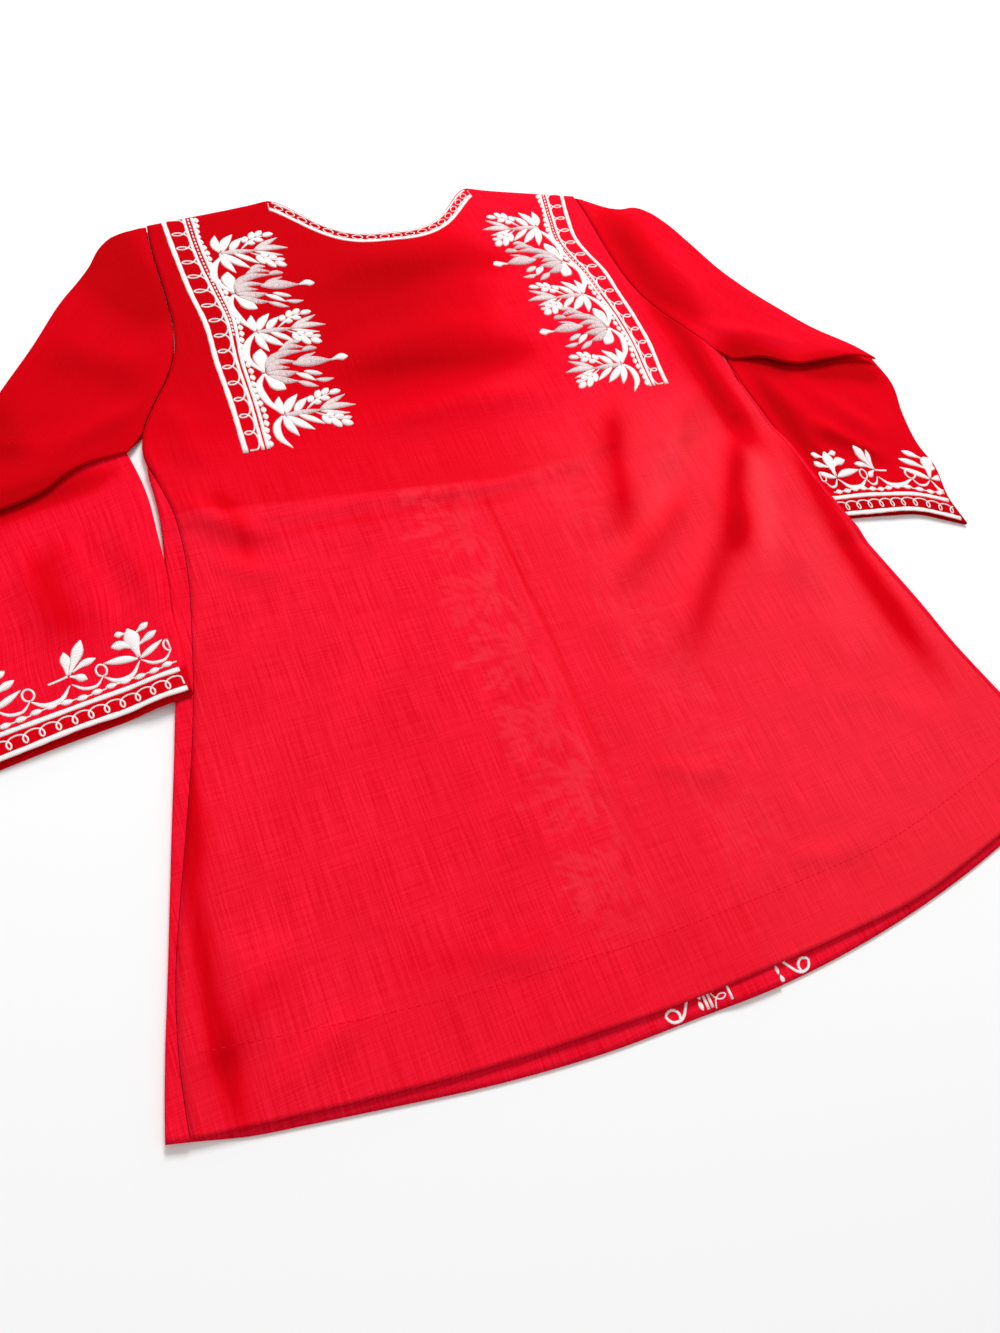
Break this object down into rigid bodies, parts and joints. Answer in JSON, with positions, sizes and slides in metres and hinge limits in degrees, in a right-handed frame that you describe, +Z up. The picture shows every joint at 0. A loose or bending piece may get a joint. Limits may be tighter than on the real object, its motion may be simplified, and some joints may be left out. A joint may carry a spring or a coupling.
{
  "type": "embroidered tunic",
  "caption": "Light woven tunic laid face down: round neck, open overlapping fronts, flared body and three-quarter sleeves bent down with a pleat at the elbow.",
  "frame": {"origin": "middle of the outline, on the surface the tunic lies on", "axes": "+Z up, away from the surface; +Y from the hem to the neck; +X to the right as seen on the back, which is uppermost"},
  "size_m": [0.7766, 0.6733, 0.0068],
  "materials": {
    "red_cloth": "matte, plain weave with fine slubs",
    "lining_cloth": "matte, plain weave"
  },
  "bodies": {
    "root": {"back_panel": "red_cloth", "front_left": "red_cloth", "front_right": "red_cloth", "yoke_lining": "lining_cloth", "sleeve_left_upper": "red_cloth", "sleeve_left_lower": "red_cloth", "sleeve_right_upper": "red_cloth", "sleeve_right_lower": "red_cloth"}
  },
  "joints": []
}
